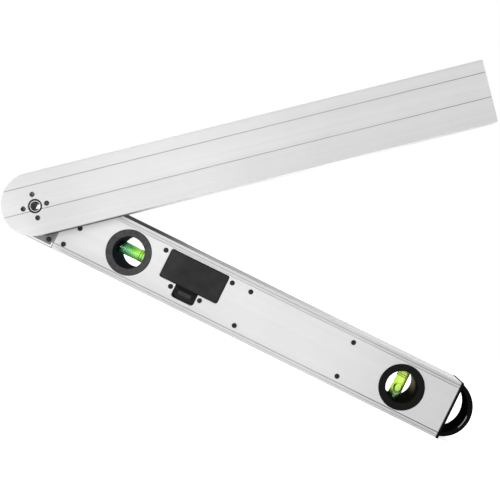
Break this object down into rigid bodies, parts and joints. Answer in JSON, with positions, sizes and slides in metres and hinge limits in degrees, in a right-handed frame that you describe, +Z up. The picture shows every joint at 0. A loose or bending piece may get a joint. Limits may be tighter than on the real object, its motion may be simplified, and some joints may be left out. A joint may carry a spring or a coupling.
{
  "type": "digital protractor",
  "caption": "Two-arm aluminium angle finder with level and plumb vials, a battery door, a display and a lock knob, opened to about forty degrees.",
  "frame": {"origin": "on the main arm's measuring edge, under the pivot axis and midway through the beam's thickness", "axes": "+X along the main arm from the pivot to the hanging loop, +Z up away from the measuring edge, +Y towards the display side, -Y towards the rear side with the battery door"},
  "size_m": [0.4499, 0.0549, 0.3095],
  "materials": {
    "brushed_aluminium": "satin anodised, brushed along the arm",
    "cast_aluminium": "fine matt casting",
    "grey_plastic": "moulded, matt dark grey",
    "dark_plastic": "moulded, matt near black",
    "black_plastic": "moulded, fine matt texture",
    "level_ring": "moulded, satin charcoal",
    "black_gloss": "moulded, semi-gloss black",
    "button_plastic": "moulded, satin grey",
    "pale_plastic": "smooth, pale",
    "black_steel": "black oxide",
    "bright_steel": "turned bright steel",
    "brass": "turned",
    "vial_acrylic": "clear polished acrylic",
    "green_fluid": "clear green liquid",
    "yellow_fluid": "clear yellow-green liquid",
    "display_window": "clear polished sheet",
    "lcd_glass": "unlit grey-green display",
    "circuit_board": "green solder mask",
    "silicone": "translucent grey silicone",
    "ribbon": "amber flexible film",
    "cell_wrap": "printed sleeve, plain"
  },
  "bodies": {
    "main_arm": {"main_beam": "brushed_aluminium", "pivot_housing": "cast_aluminium", "rear_pivot_cover": "grey_plastic", "front_pivot_cover": "grey_plastic", "rear_cover_screws": "black_steel", "front_cover_screws": "black_steel", "housing_screws": "black_steel", "tray_screws": "black_steel", "spacer_screws": "black_steel", "spacer_blocks": "dark_plastic", "pivot_bush": "brass", "friction_washer": "pale_plastic", "thrust_washer": "bright_steel", "encoder_stator": "circuit_board", "sensor_ribbon": "ribbon", "level_vial_holder": "level_ring", "level_vial_ring": "level_ring", "level_vial_tube": "vial_acrylic", "level_vial_fluid": "green_fluid", "plumb_vial_holder": "black_plastic", "plumb_vial_ring": "black_plastic", "plumb_vial_tube": "vial_acrylic", "plumb_vial_fluid": "yellow_fluid", "end_cap_loop": "black_gloss", "battery_tray": "black_plastic", "battery_cells": "cell_wrap", "battery_contacts": "bright_steel", "display_housing": "black_plastic", "display_window": "display_window", "lcd_panel": "lcd_glass", "lcd_carrier": "pale_plastic", "circuit_board": "circuit_board", "button_mat": "silicone"},
    "swing_arm": {"swing_beam": "brushed_aluminium", "swing_pivot_block": "dark_plastic", "hub_screws": "black_steel", "pivot_shaft": "bright_steel", "shaft_collar": "bright_steel", "encoder_rotor": "circuit_board", "swing_end_plug": "black_plastic"},
    "lock_knob": {"lock_knob": "black_plastic", "knob_stud": "bright_steel", "knob_cap": "grey_plastic"},
    "battery_door": {"battery_door": "black_plastic"},
    "upper_button": {"upper_button": "button_plastic"},
    "middle_button": {"middle_button": "button_plastic"},
    "lower_button": {"lower_button": "button_plastic"}
  },
  "joints": [
    {"name": "swing_pivot", "type": "hinge", "parent": "main_arm", "child": "swing_arm", "pos_m": [0, 0, 0.0291], "axis": [0, -1, 0], "range_deg": [-40.2, 184.8]},
    {"name": "knob_turn", "type": "hinge", "parent": "swing_arm", "child": "lock_knob", "pos_m": [0, 0, 0.0291], "axis": [0, 1, 0], "range_deg": [0, 300]},
    {"name": "door_hinge", "type": "hinge", "parent": "main_arm", "child": "battery_door", "pos_m": [0.14625, -0.0133, 0.04665], "axis": [-1, 0, 0], "range_deg": [0, 70]},
    {"name": "upper_button_press", "type": "slide", "parent": "main_arm", "child": "upper_button", "axis": [0, -1, 0], "range_m": [0, 0.0006], "stiffness_N_per_m": 500},
    {"name": "middle_button_press", "type": "slide", "parent": "main_arm", "child": "middle_button", "axis": [0, -1, 0], "range_m": [0, 0.0006], "stiffness_N_per_m": 500},
    {"name": "lower_button_press", "type": "slide", "parent": "main_arm", "child": "lower_button", "axis": [0, -1, 0], "range_m": [0, 0.0006], "stiffness_N_per_m": 500}
  ]
}
